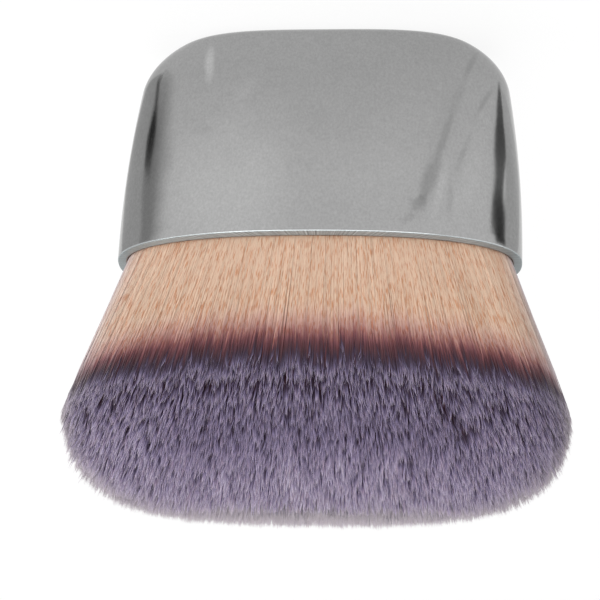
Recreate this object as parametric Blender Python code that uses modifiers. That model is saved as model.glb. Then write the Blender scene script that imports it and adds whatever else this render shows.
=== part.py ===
"""Palm body brush: a short, flat, oval metal cap holding a flared and domed head of soft filaments.

Metres, +Z up. The brush stands on the flat closed end of its cap: Z = 0 is that face and the filaments
point up. X runs across the width and the front face looks towards -Y.
"""

import math
import random

import bmesh
import bpy

# ---- cap ----
CAP_HEIGHT = 0.0457
MOUTH_WIDTH = 0.0700
MOUTH_DEPTH = 0.0224
END_WIDTH = 0.0636  # across the side walls carried down to the closed end, before its corners
END_DEPTH = 0.0166
SIDE_BULGE = 0.00115  # how far the side walls bow out of a straight taper at mid height
FACE_BULGE = 0.00030
CORNER_RADIUS = 0.0110  # the two corners of the closed end, seen from the front
END_EDGE_RADIUS = 0.0022  # the long edges of the closed end
MOUTH_POWER = 2.4  # superellipse exponent of the oval at the mouth
END_POWER = 3.4  # and at the closed end, where the section is squarer
CAP_WALL = 0.0017
LIP_CHAMFER = 0.00022

# ---- pieces inside the cap ----
CLEARANCE = 0.0003  # between any two pieces
CUP_WALL = 0.0005
CUP_DEPTH = 0.0130
CUP_CORNER = 0.0012
CUP_BELOW_MOUTH = 0.0030
PLUG_BELOW_MOUTH = 0.0010
PLUG_CORNER = 0.0007
CORE_WALL = 0.0016
CORE_DECK = 0.0024
CORE_RIB = 0.0014
CORE_BAYS = 6

# ---- filament head ----
HEAD_WIDTH = 0.0842  # across the tips of the outermost filaments
HEAD_DEPTH = 0.0370
SHOULDER_HEIGHT = 0.0304  # of those tips above the mouth
HEAD_HEIGHT = 0.0471  # of the middle tips above the mouth
HEAD_CORNER = 0.0242  # how far the dome draws in at each end of the width
DOME_FLARE = 0.15  # share of the flare that goes on above the shoulder
HEAD_POWER = 2.3
SLICES = 8
COLUMN_PITCH = 0.00135
ROW_PITCH = 0.00166
STRAND_GAP = 0.00033
STRAND_ROOT = 0.0005  # how deep a strand is fused into the plug
TIP_TAPER = 0.0034
TIP_UNEVENNESS = 0.0007

# ---- mesh fineness ----
AROUND = 72
PLUG_AROUND = 64
EDGE_STEPS = 5
BODY_STEPS = 6
SMALLEST_RADIUS = 0.0002


# ---- the cap's form, which every piece inside it follows ----
def half_width(z):
    u = 1 - z / CAP_HEIGHT
    return MOUTH_WIDTH / 2 + (END_WIDTH - MOUTH_WIDTH) / 2 * u + 4 * SIDE_BULGE * u * (1 - u)


def half_depth(z):
    u = 1 - z / CAP_HEIGHT
    return MOUTH_DEPTH / 2 + (END_DEPTH - MOUTH_DEPTH) / 2 * u + 4 * FACE_BULGE * u * (1 - u)


def power_at(z):
    u = 1 - z / CAP_HEIGHT
    return MOUTH_POWER + (END_POWER - MOUTH_POWER) * u * u


def drawn_in(rise, radius):
    """How far a quarter round that starts on the end face stands in from the wall, at this rise above it."""
    if rise >= radius:
        return 0.0
    return radius - math.sqrt(radius ** 2 - (radius - max(rise, 0.0)) ** 2)


def oval_ring(a, b, z, inset, count):
    """A ring of points on an oval of half sizes a and b, moved in by inset along the oval's own normal."""
    power = power_at(z)
    ring = []
    for i in range(count):
        angle = 2 * math.pi * i / count
        c, s = math.cos(angle), math.sin(angle)
        x = a * math.copysign(abs(c) ** (2 / power), c)
        y = b * math.copysign(abs(s) ** (2 / power), s)
        nx = math.copysign(abs(x / a) ** (power - 1) / a, x)
        ny = math.copysign(abs(y / b) ** (power - 1) / b, y)
        length = math.hypot(nx, ny)
        ring.append((x - inset * nx / length, y - inset * ny / length, z))
    return ring


def wall_ring(z, inset, count):
    """The cap's wall at height z, moved in by inset, with no rounding at the closed end."""
    return oval_ring(half_width(z), half_depth(z), z, inset, count)


def rounded_ring(z, inset, count):
    """The same, rounded off at the closed end, whose face is moved in by inset too."""
    corner = max(CORNER_RADIUS - inset, SMALLEST_RADIUS)
    edge = max(END_EDGE_RADIUS - inset, SMALLEST_RADIUS)
    a = half_width(z) - drawn_in(z - inset, corner)
    b = half_depth(z) - drawn_in(z - inset, edge)
    return oval_ring(a, b, z, inset, count)


def end_levels(inset, top):
    """Heights for the rings of a surface moved in by inset: close over its rounded end, then wider."""
    corner = max(CORNER_RADIUS - inset, SMALLEST_RADIUS)
    edge = max(END_EDGE_RADIUS - inset, SMALLEST_RADIUS)
    turn = math.pi / 2 / EDGE_STEPS
    rises = [edge * (1 - math.cos(turn * i)) for i in range(EDGE_STEPS + 1)]
    start = math.acos(max(1 - edge / corner, 0.0))
    turn = (math.pi / 2 - start) / EDGE_STEPS
    rises += [corner * (1 - math.cos(start + turn * i)) for i in range(1, EDGE_STEPS + 1)]
    levels = [inset + rise for rise in rises]
    step = (top - levels[-1]) / BODY_STEPS
    return levels + [levels[-1] + step * i for i in range(1, BODY_STEPS + 1)]


# ---- scene helpers ----
def clear_scene():
    for obj in list(bpy.data.objects):
        bpy.data.objects.remove(obj, do_unlink=True)


def new_collection(name):
    made = bpy.data.collections.new(name)
    bpy.context.scene.collection.children.link(made)
    return made


def new_material(name, colour, metallic, roughness):
    made = bpy.data.materials.new(name)
    made.use_nodes = True
    made.diffuse_color = (*colour, 1.0)
    shader = made.node_tree.nodes["Principled BSDF"]
    shader.inputs["Base Color"].default_value = (*colour, 1.0)
    shader.inputs["Metallic"].default_value = metallic
    shader.inputs["Roughness"].default_value = roughness
    return made


def skin(bm, rings, close_low=True, close_high=True):
    """Faces between equal rings, stacked upwards, and the rings so made."""
    rows = [[bm.verts.new(point) for point in ring] for ring in rings]
    count = len(rows[0])
    for low, high in zip(rows, rows[1:]):
        for i in range(count):
            j = (i + 1) % count
            bm.faces.new((low[i], low[j], high[j], high[i]))
    if close_low:
        bm.faces.new(tuple(reversed(rows[0])))
    if close_high:
        bm.faces.new(tuple(rows[-1]))
    return rows


def new_object(name, bm, origin, collection, material=None):
    """An object whose origin is at this place. A piece has a material, and a cutter has none."""
    bmesh.ops.translate(bm, vec=[-value for value in origin], verts=bm.verts)
    mesh = bpy.data.meshes.new(name)
    bm.to_mesh(mesh)
    bm.free()
    made = bpy.data.objects.new(name, mesh)
    made.location = origin
    collection.objects.link(made)
    if material is None:
        made.hide_render = True
        made.display_type = "WIRE"
    else:
        mesh.materials.append(material)
    return made


def smooth(obj):
    obj.data.shade_smooth()
    obj.data.set_sharp_from_angle(angle=math.radians(30))


def add_wall(obj, thickness):
    made = obj.modifiers.new("wall", "SOLIDIFY")
    made.thickness = thickness
    made.offset = -1
    made.use_even_offset = True


def add_boolean(obj, operation, other):
    made = obj.modifiers.new(operation.lower(), "BOOLEAN")
    made.operation = operation
    made.solver = "EXACT"
    made.object = other


def box_between(bm, low, high):
    verts = bmesh.ops.create_cube(bm, size=1.0)["verts"]
    bmesh.ops.scale(bm, vec=[b - a for a, b in zip(low, high)], verts=verts)
    bmesh.ops.translate(bm, vec=[(a + b) / 2 for a, b in zip(low, high)], verts=verts)


# ---- rigid pieces ----
def make_outer_shell(collection):
    """The metal cap: a flat closed end with round corners, an oval wall and a flat lip round the mouth."""
    bm = bmesh.new()
    skin(bm, [rounded_ring(z, 0.0, AROUND) for z in end_levels(0.0, CAP_HEIGHT)], close_high=False)
    metal = new_material("cap_metal", (0.36, 0.36, 0.36), 1.0, 0.3)
    made = new_object("outer_shell", bm, (0, 0, 0), collection, metal)
    smooth(made)
    add_wall(made, CAP_WALL)
    chamfer = made.modifiers.new("lip_chamfer", "BEVEL")
    chamfer.width = LIP_CHAMFER
    chamfer.segments = 1
    chamfer.limit_method = "ANGLE"
    chamfer.angle_limit = math.radians(60)
    return made


def cup_top():
    return CAP_HEIGHT - CUP_BELOW_MOUTH


def cup_base():
    return cup_top() - CUP_DEPTH


def make_knot_cup(collection):
    """The thin pressed cup in which the filament knot is potted, fixed in the cap below its lip."""
    inset = CAP_WALL + CLEARANCE
    turn = math.pi / 2 / EDGE_STEPS
    rings = []
    for i in range(EDGE_STEPS + 1):
        rise = CUP_CORNER * (1 - math.cos(turn * i))
        rings.append(wall_ring(cup_base() + rise, inset + drawn_in(rise, CUP_CORNER), AROUND))
    for z in ((cup_base() + cup_top()) / 2, cup_top()):
        rings.append(wall_ring(z, inset, AROUND))
    bm = bmesh.new()
    skin(bm, rings, close_high=False)
    metal = new_material("cup_metal", (0.6, 0.6, 0.6), 1.0, 0.35)
    made = new_object("knot_cup", bm, (0, 0, cup_base()), collection, metal)
    smooth(made)
    add_wall(made, CUP_WALL)
    return made


def make_core_block(collection, cutters):
    """The moulded insert that fills the cap under the cup: a deck on an outer wall and cross ribs."""
    inset = CAP_WALL + CLEARANCE
    low = inset
    high = cup_base() - CLEARANCE
    bm = bmesh.new()
    skin(bm, [rounded_ring(z, inset, AROUND) for z in end_levels(inset, high)])
    plastic = new_material("core_plastic", (0.03, 0.03, 0.035), 0.0, 0.5)
    made = new_object("core_block", bm, (0, 0, low), collection, plastic)
    smooth(made)
    pockets = make_core_pockets(low, high - CORE_DECK, inset + CORE_WALL, cutters)
    add_boolean(made, "DIFFERENCE", pockets)
    return made


def make_core_pockets(low, deck, inset, cutters):
    """Bays between the ribs, open downwards. Each is as deep in Y as its wall allows at its outer side."""
    a = half_width(low + CORNER_RADIUS) - inset
    b = half_depth(low) - inset - SMALLEST_RADIUS
    power = power_at(low)
    pitch = (2 * a - CORE_WALL + CORE_RIB) / CORE_BAYS
    bm = bmesh.new()
    for bay in range(CORE_BAYS):
        left = (bay - CORE_BAYS / 2) * pitch + CORE_RIB / 2
        right = left + pitch - CORE_RIB
        outer = max(abs(left), abs(right))
        y = b * (1 - min(outer / a, 1.0) ** power) ** (1 / power)
        box_between(bm, (left, -y, low - CAP_WALL), (right, y, deck))
    return new_object("core_pockets", bm, (0, 0, low), cutters)


# ---- filament head ----
def plug_top():
    return CAP_HEIGHT - PLUG_BELOW_MOUTH


def root_half_width():
    return half_width(plug_top()) - CAP_WALL - CLEARANCE


def root_half_depth():
    return half_depth(plug_top()) - CAP_WALL - CLEARANCE


def flare(s):
    """Share of the flare reached at height s above the mouth: 0 on the plug and 1 at the shoulder."""
    return (s + PLUG_BELOW_MOUTH) / (SHOULDER_HEIGHT + PLUG_BELOW_MOUTH)


def lean(x, y, s):
    """Where the filament rooted at x, y on the plug stands at height s above the mouth."""
    wide = 1 + (HEAD_WIDTH / 2 / root_half_width() - 1) * flare(s)
    deep = 1 + (HEAD_DEPTH / 2 / root_half_depth() - 1) * flare(s)
    return x * wide, y * deep


def inside_head(x, y, s):
    """Whether a point at height s above the mouth lies in the flared and domed outline of the head."""
    k = max(s - SHOULDER_HEIGHT, 0.0) / (HEAD_HEIGHT - SHOULDER_HEIGHT)
    if k >= 1:
        return False
    bow = math.sqrt(1 - k * k)
    spread = flare(min(s, SHOULDER_HEIGHT)) + DOME_FLARE * k
    a = root_half_width() + (HEAD_WIDTH / 2 - root_half_width()) * spread - HEAD_CORNER * (1 - bow)
    b = (root_half_depth() + (HEAD_DEPTH / 2 - root_half_depth()) * spread) * bow
    return (abs(x) / a) ** HEAD_POWER + (abs(y) / b) ** HEAD_POWER <= 1


def strand_height(x, y):
    """How high above the mouth the strand rooted at x, y reaches before it leaves the head's outline."""
    low, high = 0.0, HEAD_HEIGHT
    for _ in range(30):
        middle = (low + high) / 2
        if inside_head(*lean(x, y, middle), middle):
            low = middle
        else:
            high = middle
    return low


def column_count():
    usable = root_half_width() - CLEARANCE / 2
    return 2 * int((usable + STRAND_GAP / 2) / COLUMN_PITCH)


def strand_roots(column):
    """Where the strands of one column stand on the plug: staggered rows that stay on its top face."""
    half_x = (COLUMN_PITCH - STRAND_GAP) / 2
    half_y = (ROW_PITCH - STRAND_GAP) / 2
    a = root_half_width() - CLEARANCE / 2
    b = root_half_depth() - CLEARANCE / 2
    x = (column - (column_count() - 1) / 2) * COLUMN_PITCH
    share = min((abs(x) + half_x) / a, 1.0)
    reach = b * (1 - share ** MOUTH_POWER) ** (1 / MOUTH_POWER) - half_y
    stagger = 0.5 if column % 2 else 0.0
    rows = range(-int(b / ROW_PITCH) - 1, int(b / ROW_PITCH) + 2)
    return [(x, (row + stagger) * ROW_PITCH) for row in rows if abs(row + stagger) * ROW_PITCH <= reach]


def strand_ring(x, y, s):
    """The four corners of the strand's section at height s: it widens as the head flares."""
    centre_x, centre_y = lean(x, y, s)
    wide, deep = lean(1.0, 1.0, s)
    half_x = (COLUMN_PITCH * wide - STRAND_GAP) / 2
    half_y = (ROW_PITCH * deep - STRAND_GAP) / 2
    corners = ((-1, -1), (1, -1), (1, 1), (-1, 1))
    return [(centre_x + i * half_x, centre_y + j * half_y, CAP_HEIGHT + s) for i, j in corners]


def add_strand(bm, x, y, height):
    root = -PLUG_BELOW_MOUTH - STRAND_ROOT
    rows = skin(bm, [strand_ring(x, y, root), strand_ring(x, y, height - TIP_TAPER)], close_high=False)
    tip = bm.verts.new((*lean(x, y, height), CAP_HEIGHT + height))
    for i in range(4):
        bm.faces.new((rows[-1][i], rows[-1][(i + 1) % 4], tip))


def make_plug(bm):
    """The potted root of the knot: it fills the cup and spreads over the cup's rim, just below the lip."""
    base = cup_base() + CUP_WALL + CLEARANCE
    narrow = CAP_WALL + CUP_WALL + 2 * CLEARANCE
    wide = CAP_WALL + CLEARANCE
    step = cup_top() + CLEARANCE
    levels = (
        (base, narrow + PLUG_CORNER),
        (base + PLUG_CORNER, narrow),
        (step, narrow),
        (step, wide),
        (plug_top(), wide),
    )
    skin(bm, [wall_ring(z, inset, PLUG_AROUND) for z, inset in levels])


def make_bristle_slice(number, first, last, rng, collection, cutters):
    """One slice of the knot across its width: a slice of the plug, with columns first to last fused to it."""
    edge = column_count() / 2
    left = (first - edge) * COLUMN_PITCH + CLEARANCE / 2 if number > 1 else -MOUTH_WIDTH
    right = (last - edge) * COLUMN_PITCH - CLEARANCE / 2 if number < SLICES else MOUTH_WIDTH
    origin = ((first + last - 2 * edge) / 2 * COLUMN_PITCH, 0, plug_top())
    slab = bmesh.new()
    box_between(slab, (left, -MOUTH_DEPTH, 0), (right, MOUTH_DEPTH, CAP_HEIGHT))
    strands = bmesh.new()
    count = 0
    for column in range(first, last):
        for x, y in strand_roots(column):
            add_strand(strands, x, y, strand_height(x, y) - rng.random() * TIP_UNEVENNESS)
            count += 1
    bm = bmesh.new()
    make_plug(bm)
    filament = new_material(f"filament_{number}", (0.62, 0.42, 0.32), 0.0, 0.5)
    made = new_object(f"bristle_slice_{number}", bm, origin, collection, filament)
    add_boolean(made, "INTERSECT", new_object(f"slab_{number}", slab, origin, cutters))
    add_boolean(made, "UNION", new_object(f"strands_{number}", strands, origin, cutters))
    return made, count


def main():
    clear_scene()
    brush = new_collection("body_brush")
    cutters = new_collection("cutters")
    shell = make_outer_shell(brush)
    held = [make_core_block(brush, cutters), make_knot_cup(brush)]
    rng = random.Random(7)
    total = 0
    for index in range(SLICES):
        first = round(index * column_count() / SLICES)
        last = round((index + 1) * column_count() / SLICES)
        piece, count = make_bristle_slice(index + 1, first, last, rng, brush, cutters)
        held.append(piece)
        total += count
    for piece in held:
        piece.parent = shell
    print("strands:", total)


main()
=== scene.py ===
"""Palm body brush: a satin metal cap and a flared, domed head of dyed filaments.

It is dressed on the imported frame. Metres, +Z up. The brush stands on the closed end of its cap with the
filaments up, and the front face is -Y.
"""

import math

import bpy
import numpy as np
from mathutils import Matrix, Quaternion, Vector


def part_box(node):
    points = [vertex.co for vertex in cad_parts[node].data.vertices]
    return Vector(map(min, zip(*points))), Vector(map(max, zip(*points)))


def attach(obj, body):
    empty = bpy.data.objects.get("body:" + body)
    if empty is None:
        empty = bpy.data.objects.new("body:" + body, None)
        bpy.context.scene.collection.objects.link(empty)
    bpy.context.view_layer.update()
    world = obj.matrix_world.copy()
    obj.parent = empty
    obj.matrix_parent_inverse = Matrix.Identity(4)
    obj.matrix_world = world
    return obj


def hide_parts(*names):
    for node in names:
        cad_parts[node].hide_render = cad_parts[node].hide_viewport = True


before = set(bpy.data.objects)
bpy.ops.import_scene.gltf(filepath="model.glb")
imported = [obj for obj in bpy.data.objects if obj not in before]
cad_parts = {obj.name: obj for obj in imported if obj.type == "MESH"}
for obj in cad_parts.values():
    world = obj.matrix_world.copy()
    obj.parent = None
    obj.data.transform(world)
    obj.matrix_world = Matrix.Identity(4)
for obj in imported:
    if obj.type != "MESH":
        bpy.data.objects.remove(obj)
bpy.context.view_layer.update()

# ---- cap: the frame's sizes, drawn finer ----
CAP_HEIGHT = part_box("outer_shell")[1].z
MOUTH_WIDTH = 0.0700
MOUTH_DEPTH = 0.0224
END_WIDTH = 0.0636
END_DEPTH = 0.0166
SIDE_BULGE = 0.00115
FACE_BULGE = 0.00030
CORNER_RADIUS = 0.0110
END_EDGE_RADIUS = 0.0022
MOUTH_POWER = 2.4
END_POWER = 3.4
CAP_WALL = 0.0017
LIP_ROUND = 0.00022
SMALLEST_RADIUS = 0.0002
LIP_INNER_RING = 8  # of the lip's rings, the one where its inner edge starts
CAP_AROUND = 288

# ---- potted root of the head ----
CLEARANCE = 0.0003
CUP_WALL = 0.0005
CUP_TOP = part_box("knot_cup")[1].z
CUP_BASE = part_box("knot_cup")[0].z
PLUG_TOP = CAP_HEIGHT - 0.0010
PLUG_CORNER = 0.0007

# ---- filament head ----
HEAD_WIDTH = 0.0842
HEAD_DEPTH = 0.0370
SHOULDER_HEIGHT = 0.0304
HEAD_HEIGHT = 0.0471
HEAD_CORNER = 0.0242
DOME_FLARE = 0.15
HEAD_POWER = 2.3
HEAD_LEAN = -0.0004  # sideways set of the head at its shoulder
SLICES = 8
COLUMN_PITCH = 0.00135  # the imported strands' columns: the slices part between two of them
STRAND_GAP = 0.00033

# ---- tufts: the even pattern, and the extra ones round the outside of the head, the skirt ----
TUFT_PITCH = 0.00035  # between tufts, at the height of the shoulder
TUFT_SCATTER = 0.38  # of the pitch, either way
TUFT_SPREAD = TUFT_PITCH * 0.62
TUFT_SIZE = 3  # filaments in a tuft
EVEN_FULLNESS = 0.985  # the even pattern stops here, just inside the outline
SKIRT_TUFTS = 5600
SKIRT_INSET = (0.00010, 0.00045)
SKIRT_DROP = 0.0034  # the lowest of them end this far below the outline
OUTER_FULLNESS = 0.80  # tufts of the even pattern past this may end lower too, in layers
LAYERED_SHARE = 0.75
LAYERED_DROP = 0.0036
LAYERED_LESS = 0.55  # share of those drops that is gone at the two ends of the head
GAP_SHADE_SHARE = 0.52  # share of the lower tufts that stay dark to their tips: painted shade for the gaps between the light strokes
FREE_DROP = 0.0004  # a tuft layered less than this reaches the dome
MIDDLE_LENGTH, MIDDLE_SPREAD = 0.0405, 0.0038  # tuft length half way up the dome
SHORT_SHARE, SHORT_MORE = 0.26, 0.16  # share of short tufts on the dome, and how many more half way up it
SHORT_DROP = (0.0008, 0.0032)
CLUMP_DROP, CLUMP_FROM = 0.0016, 1.55
PARTING = ((-0.0198, -0.0153), (-0.0230, -0.0113))  # ends of the line where the tufts lie apart
PARTING_HALF = 0.00095
PARTING_DROP = 0.0044
SWAY_LIMIT = 0.00005  # how far past the outline a tip may sway

# ---- filaments ----
FILAMENT_RADIUS = 0.000085
RING_SHARES = (0.80, 0.96, 1.0)  # of the radius, from the root to the start of the tip
SURFACE_SHARES = (0.86, 0.82, 0.60)  # how far its shading follows the whole head's surface, root to tip
ROOT_BELOW_PLUG = 0.0004
TIP_RISE = 0.0006  # the longest filaments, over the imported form's outline
OUTLINE_PULL = 0.994  # filaments past this fullness are pulled back to it
LONG_FULLNESS = 0.86  # filaments past this are drawn from the root
SHORT_START = 0.0100  # how far below its tip any other filament is drawn from
STRAY_FULLNESS, STRAY_SHARE = 0.93, 0.010
LOWER_DROP = 0.001  # a filament layered more than this is one of the lower ones
RINGS = (  # root, middle, near the tip and tip: pull toward the tuft, sway, looseness and jitter
    (0.0, 0.0, 0.0, 0.0),
    (0.15, 0.20, 0.6, 0.00012),
    (0.65, 0.60, 1.0, 0.00009),
    (1.0, 1.0, 0.6, 0.00012),
)

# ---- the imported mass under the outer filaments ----
MASS_INSET = 0.00024  # how far inside the outer filaments it lies, at the mouth
MASS_BELOW_TIPS = 0.0062
MASS_COLUMN = 0.00020
MASS_ROWS, MASS_LEVELS = 40, 14
MASS_RIDGE, MASS_TILT = 0.003, 0.35  # unevenness of its ridges, and how far each is shaded to one side

# ---- dye, and painted edge light ----
SHADES = 64  # strips of the filament map, one for each shade of filament
DYE_LENGTH = 0.054  # length of filament that the map spans, back from the tip
ROOT_ON_MAP = 0.06  # the map's part below this is the potted root's
TIP_DYE_SHARE = 0.15  # share of a filament's dye shift that reaches its pale tip
POT_COLOUR = (0.030, 0.026, 0.024)
DYE_STOPS = (  # millimetres back from the tip, and the colour there
    (18.5, (1.00, 0.71, 0.520)),
    (16.0, (0.95, 0.655, 0.500)),
    (14.7, (0.87, 0.560, 0.445)),
    (12.8, (0.70, 0.400, 0.340)),
    (10.9, (0.45, 0.200, 0.182)),
    (9.3, (0.26, 0.090, 0.100)),
    # the darkest stops, 7.9 to 4.4 mm back, are partly the wine dye and partly painted shade for the gaps
    # between the tips
    (7.9, (0.140, 0.042, 0.054)),
    (6.2, (0.078, 0.024, 0.036)),
    (4.4, (0.042, 0.021, 0.048)),
    (3.0, (0.074, 0.050, 0.098)),
    (2.0, (0.150, 0.120, 0.225)),
    (0.9, (0.390, 0.330, 0.500)),
    (0.0, (0.800, 0.730, 0.860)),
)
DASH_SHARES = (0.40, 0.92, 1.20)  # how much of a dash's depth each channel takes
# painted light: a pale colour mixed in where the filaments turn edge on, standing for light through the tips
# at the head's outline
EDGE_LIGHT_COLOUR = (0.86, 0.77, 0.80)
EDGE_LIGHT_SHARES = ((11.5, 1.0), (8.5, 0.30), (3.5, 0.30), (1.4, 1.0))  # millimetres back, and share of the painted edge light

# ---- cap metal ----
WALL_COLOUR = (0.373, 0.374, 0.373)
# painted highlight on the lip's outer round edge
RIM_HIGHLIGHT_COLOUR = (0.50, 0.53, 0.54)
LIP_COLOUR = (0.40, 0.46, 0.48)
# painted shade for the shadow gap at the lip's inner edge
INNER_EDGE_SHADE_COLOUR = (0.22, 0.20, 0.19)
PAINTED_REFLECTIONS = (  # painted reflections on the cap's front, soft dark streaks and light patches: middle, half length and half width in millimetres, turn in degrees, fray, change of tone
    (-26.2, 8.5, 5.0, 0.8, -18.5, 0.4, -0.14),
    (-23.8, 16.5, 8.0, 1.1, -17.5, 0.4, -0.07),
    (-21.5, 25.5, 7.5, 1.0, -13.9, 0.4, -0.17),
    (-19.1, 34.5, 7.2, 1.8, -14.6, 0.6, -0.24),
    (-17.2, 40.0, 3.0, 1.9, -26.0, 2.0, -0.22),
    (-15.2, 42.8, 3.4, 1.4, -65.0, 2.6, -0.13),
    (-21.3, 24.0, 19.0, 2.8, -15.0, 0.4, -0.04),
    (-28.7, 16.0, 5.8, 0.7, -24.0, 0.3, -0.15),
    (-24.7, 28.5, 6.6, 0.8, -16.8, 0.4, -0.11),
    (-22.6, 38.0, 6.0, 0.8, -1.0, 0.5, -0.10),
    (-20.8, 37.0, 9.0, 1.1, -12.0, 0.5, 0.09),
    (-26.2, 32.0, 11.0, 2.4, -12.0, 0.5, 0.05),
    (20.5, 8.6, 5.8, 1.3, 2.0, 0.4, 0.32),
    (13.5, 15.0, 4.0, 1.6, -35.0, 0.8, 0.05),
    (20.7, 23.5, 1.8, 2.6, 0.0, 0.8, -0.06),
    (16.0, 36.0, 26.0, 15.0, 0.0, 0.3, 0.13),
)

# ---- studio ----
FLOOR_HALF = 6.0
CARD_RISE = 0.0003  # each layer of cards lies this much higher
CARDS = (  # name, layer, glow, and the stations that make_card describes
    ("card_left_side", 1, 0.64, (
        (38, -8, 60, 30, 3, 10, 0.9),
        (70, -24, 120, 30, 3, 10, 1.0),
        (130, -60, 180, 10, 3, 10, 1.0),
    )),
    ("card_right_side", 1, 0.70, (
        (-46, -5, -60, 30, 3, 10, 0.5),
        (-68, -12, -100, 30, 3, 10, 1.0),
        (-130, -40, -170, 10, 3, 10, 1.0),
    )),
    ("card_left_grey", 2, 0.41, (
        (35, -12.5, 35, -9.5, 4, 1, 0.2),
        (39, -15, 41, -11.5, 5, 2, 0.6),
        (47, -21, 49.5, -15, 8, 3, 0.85),
        (57, -28, 62, -19, 13, 3, 1.0),
        (82, -44, 88, -33, 18, 5, 1.0),
        (120, -69, 129, -55, 24, 5, 1.0),
    )),
    ("card_left_black", 3, 0.02, (
        (37, -9.4, 37.2, -9.0, 1, 1, 0.3),
        (41, -10.9, 41.2, -10.1, 1, 1, 0.75),
        (46.6, -15.3, 47.4, -14.4, 1, 1, 0.8),
        (51, -18.4, 52.4, -15.4, 1.5, 1, 1.0),
        (55.5, -22.6, 59, -16.6, 1.5, 1, 1.0),
        (62.5, -26, 66, -19, 1.5, 1, 0.85),
        (66.5, -28.4, 69.3, -23.4, 1.5, 1, 0.45),
        (72, -32, 73, -29, 1, 1, 0.0),
    )),
    ("card_right_black", 2, 0.04, (
        (-42, -7, -42, -6, 1, 1, 0.3),
        (-45, -9.6, -45.8, -7.6, 1, 1, 0.8),
        (-50.5, -15.5, -54, -9.8, 2, 1, 0.9),
        (-56, -22.5, -62, -11.5, 2.5, 1, 0.90),
        (-62, -27, -68, -14, 3, 1, 0.88),
        (-66.5, -28.5, -72, -20.5, 4, 2, 0.82),
        (-71, -33, -77.5, -25.5, 4, 2.5, 0.85),
        (-74.5, -39, -81.5, -26.5, 3, 2, 0.95),
        (-76.5, -43.5, -89, -24.5, 2, 2, 1.0),
        (-81.5, -45.0, -94, -26, 2.5, 2, 1.0),
        (-90, -44, -101, -29, 4, 3, 1.0),
        (-112, -58, -124, -38, 6, 4, 1.0),
    )),
)
LAMPS = (  # name, place, size, watts, whether the metal mirrors it
    ("key", (0.35, -0.55, 0.55), (0.5, 0.5), 1.1, True),
    ("front", (0.02, -0.62, 0.38), (0.5, 0.4), 1.5, True),
    ("fill", (-0.5, -0.45, 0.35), (0.5, 0.5), 0.5, True),
    ("top", (0.0, 0.2, 0.75), (0.6, 0.6), 2.0, True),
    ("side", (0.6, 0.05, 0.30), (0.3, 0.4), 1.2, False),
)
CAMERA_DISTANCE = 0.330
CAMERA_ELEVATION = math.radians(29.77)
CAMERA_AZIMUTH = math.radians(-4.97)
CAMERA_ROLL = math.radians(182.66)
LENS_MM = 115.6
LOOK_AT = Vector((0.00297, 0.0, CAP_HEIGHT + 0.00704))


# ---- the cap's form ----
def half_width(z):
    u = 1 - z / CAP_HEIGHT
    return MOUTH_WIDTH / 2 + (END_WIDTH - MOUTH_WIDTH) / 2 * u + 4 * SIDE_BULGE * u * (1 - u)


def half_depth(z):
    u = 1 - z / CAP_HEIGHT
    return MOUTH_DEPTH / 2 + (END_DEPTH - MOUTH_DEPTH) / 2 * u + 4 * FACE_BULGE * u * (1 - u)


def power_at(z):
    u = 1 - z / CAP_HEIGHT
    return MOUTH_POWER + (END_POWER - MOUTH_POWER) * u * u


def drawn_in(rise, radius):
    if rise >= radius:
        return 0.0
    return radius - math.sqrt(radius ** 2 - (radius - max(rise, 0.0)) ** 2)


def signed_power(value, power):
    return np.sign(value) * np.abs(value) ** power


def oval(angles, a, b, power, inset=0.0):
    """Points on an oval of half sizes a and b, moved in by inset along its own normal."""
    x = a * signed_power(np.cos(angles), 2 / power)
    y = b * signed_power(np.sin(angles), 2 / power)
    nx = signed_power(x / a, power - 1) / a
    ny = signed_power(y / b, power - 1) / b
    length = np.hypot(nx, ny)
    return np.stack([x - inset * nx / length, y - inset * ny / length], axis=1)


def even_angles(count):
    """Angles whose points lie closest together where the oval turns fastest, the same on every ring."""
    dense = np.linspace(0, 2 * math.pi, 8001)
    middle = CAP_HEIGHT / 2
    points = oval(dense, half_width(middle), half_depth(middle), power_at(middle))
    step = np.diff(points, axis=0)
    length = np.hypot(step[:, 0], step[:, 1])
    heading = np.unwrap(np.arctan2(step[:, 1], step[:, 0]))
    turn = np.abs(np.diff(heading, append=heading[-1]))
    weight = length / length.sum() + turn / turn.sum()
    so_far = np.concatenate([[0], np.cumsum(weight)])
    return np.interp(np.arange(count) / count * so_far[-1], so_far, dense)


def cap_ring(angles, z, inset, shape_z=None):
    """The cap's surface at height z, moved in by inset, with the closed end rounded off."""
    shape_z = z if shape_z is None else shape_z
    corner = max(CORNER_RADIUS - inset, SMALLEST_RADIUS)
    edge = max(END_EDGE_RADIUS - inset, SMALLEST_RADIUS)
    a = half_width(shape_z) - drawn_in(z - inset, corner)
    b = half_depth(shape_z) - drawn_in(z - inset, edge)
    ring = oval(angles, a, b, power_at(shape_z), inset)
    return np.column_stack([ring, np.full(len(ring), z)])


def end_levels(inset, top):
    """Ring heights up from a rounded end: close over the long edges, wider over the corners and the wall."""
    corner = max(CORNER_RADIUS - inset, SMALLEST_RADIUS)
    edge = max(END_EDGE_RADIUS - inset, SMALLEST_RADIUS)
    start = math.acos(max(1 - edge / corner, 0.0))
    low = [edge * (1 - math.cos(t)) for t in np.linspace(0, math.pi / 2, 15)]
    high = [corner * (1 - math.cos(t)) for t in np.linspace(start, math.pi / 2, 17)[1:]]
    wall = np.linspace(inset + high[-1], top, 19)[1:]
    return [inset + rise for rise in low + high] + list(wall)


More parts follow.
